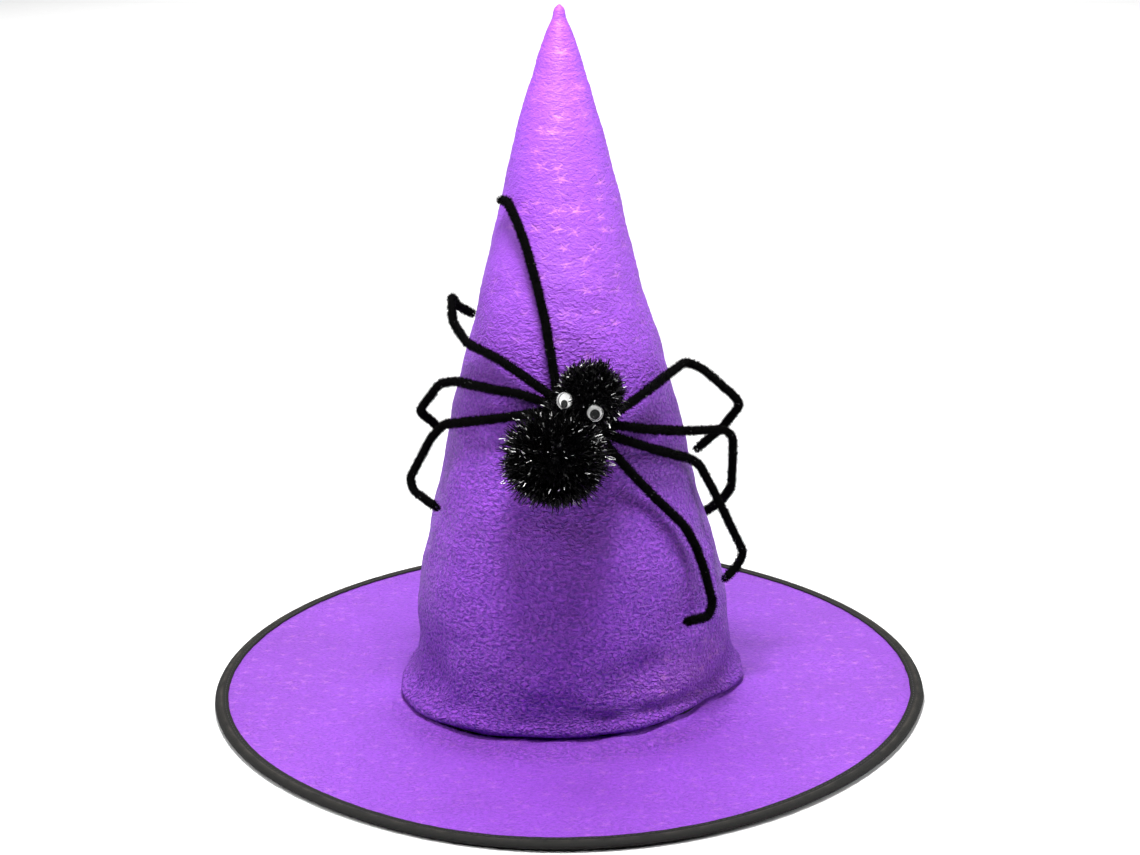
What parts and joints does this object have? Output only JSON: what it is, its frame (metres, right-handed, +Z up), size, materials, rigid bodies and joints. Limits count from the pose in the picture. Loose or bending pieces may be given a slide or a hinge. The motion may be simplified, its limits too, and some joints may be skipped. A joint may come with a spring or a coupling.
{
  "type": "witch hat",
  "caption": "Pointed costume witch hat with a wired round brim, bound edge, and a tinsel spider with bendable legs and loose-pupil eyes on the front.",
  "frame": {"origin": "centre of the brim's underside, on the surface that the hat stands on", "axes": "+Z up along the cone, -Y out of the front, where the spider is, +X to the viewer's right"},
  "size_m": [0.38, 0.38, 0.3643],
  "materials": {
    "violet_cloth": "crinkled nonwoven with small pressed stars",
    "black_tape": "woven bias tape",
    "violet_thread": "sewing thread",
    "black_thread": "sewing thread",
    "steel_wire": "galvanised",
    "black_tinsel": "shiny tinsel pile with a few silver strands",
    "black_chenille": "short matt pile on a wire core",
    "hot_glue": "milky clear",
    "white_plastic": "smooth",
    "clear_plastic": "clear",
    "black_plastic": "smooth"
  },
  "bodies": {
    "hat": {"crown_cloth": "violet_cloth", "brim_top_cloth": "violet_cloth", "brim_underside_cloth": "violet_cloth", "crown_back_thread": "violet_thread", "crown_brim_thread": "violet_thread", "head_tape": "black_tape", "brim_binding": "black_tape", "binding_thread": "black_thread", "brim_wire": "steel_wire", "wire_ferrule": "steel_wire", "body_wire": "steel_wire", "spider_head": "black_tinsel", "spider_abdomen": "black_tinsel", "leg_bundle": "black_chenille", "head_glue": "hot_glue", "abdomen_glue": "hot_glue", "eye_left_back": "white_plastic", "eye_left_dome": "clear_plastic", "eye_left_glue": "hot_glue", "eye_right_back": "white_plastic", "eye_right_dome": "clear_plastic", "eye_right_glue": "hot_glue"},
    "leg_left_1": {"leg_left_1": "black_chenille"},
    "leg_left_2": {"leg_left_2": "black_chenille"},
    "leg_left_3": {"leg_left_3": "black_chenille"},
    "leg_left_4": {"leg_left_4": "black_chenille"},
    "leg_right_1": {"leg_right_1": "black_chenille"},
    "leg_right_2": {"leg_right_2": "black_chenille"},
    "leg_right_3": {"leg_right_3": "black_chenille"},
    "leg_right_4": {"leg_right_4": "black_chenille"},
    "eye_left_pupil": {"eye_left_pupil": "black_plastic"},
    "eye_right_pupil": {"eye_right_pupil": "black_plastic"}
  },
  "joints": [
    {"name": "leg_left_1_bend", "type": "hinge", "parent": "hat", "child": "leg_left_1", "pos_m": [-0.004, -0.059, 0.186], "axis": [0.9851, -0.0241, 0.1702], "range_deg": [0, 30]},
    {"name": "leg_left_2_bend", "type": "hinge", "parent": "hat", "child": "leg_left_2", "pos_m": [-0.0085, -0.059, 0.182], "axis": [0.5509, 0.1289, 0.8246], "range_deg": [0, 30]},
    {"name": "leg_left_3_bend", "type": "hinge", "parent": "hat", "child": "leg_left_3", "pos_m": [-0.0115, -0.0595, 0.178], "axis": [0.1841, 0.9525, -0.2425], "range_deg": [0, 15]},
    {"name": "leg_left_4_bend", "type": "hinge", "parent": "hat", "child": "leg_left_4", "pos_m": [-0.012, -0.061, 0.1725], "axis": [-0.1351, 0.2695, 0.9535], "range_deg": [0, 30]},
    {"name": "leg_right_1_bend", "type": "hinge", "parent": "hat", "child": "leg_right_1", "pos_m": [0.026, -0.058, 0.171], "axis": [0.3968, -0.8853, 0.2425], "range_deg": [0, 15]},
    {"name": "leg_right_2_bend", "type": "hinge", "parent": "hat", "child": "leg_right_2", "pos_m": [0.027, -0.059, 0.1645], "axis": [0.4037, -0.8822, 0.2425], "range_deg": [0, 12]},
    {"name": "leg_right_3_bend", "type": "hinge", "parent": "hat", "child": "leg_right_3", "pos_m": [0.0255, -0.0605, 0.159], "axis": [-0.2397, -0.347, -0.9067], "range_deg": [0, 30]},
    {"name": "leg_right_4_bend", "type": "hinge", "parent": "hat", "child": "leg_right_4", "pos_m": [0.022, -0.0635, 0.154], "axis": [-0.6654, -0.3977, -0.6317], "range_deg": [0, 30]},
    {"name": "eye_left_pupil_roll", "type": "hinge", "parent": "hat", "child": "eye_left_pupil", "pos_m": [0.0006, -0.0764, 0.1831], "axis": [-0.5401, -0.8008, 0.2588], "continuous": true},
    {"name": "eye_right_pupil_roll", "type": "hinge", "parent": "hat", "child": "eye_right_pupil", "pos_m": [0.0147, -0.0808, 0.1782], "axis": [0.1371, -0.9752, 0.1737], "continuous": true}
  ]
}
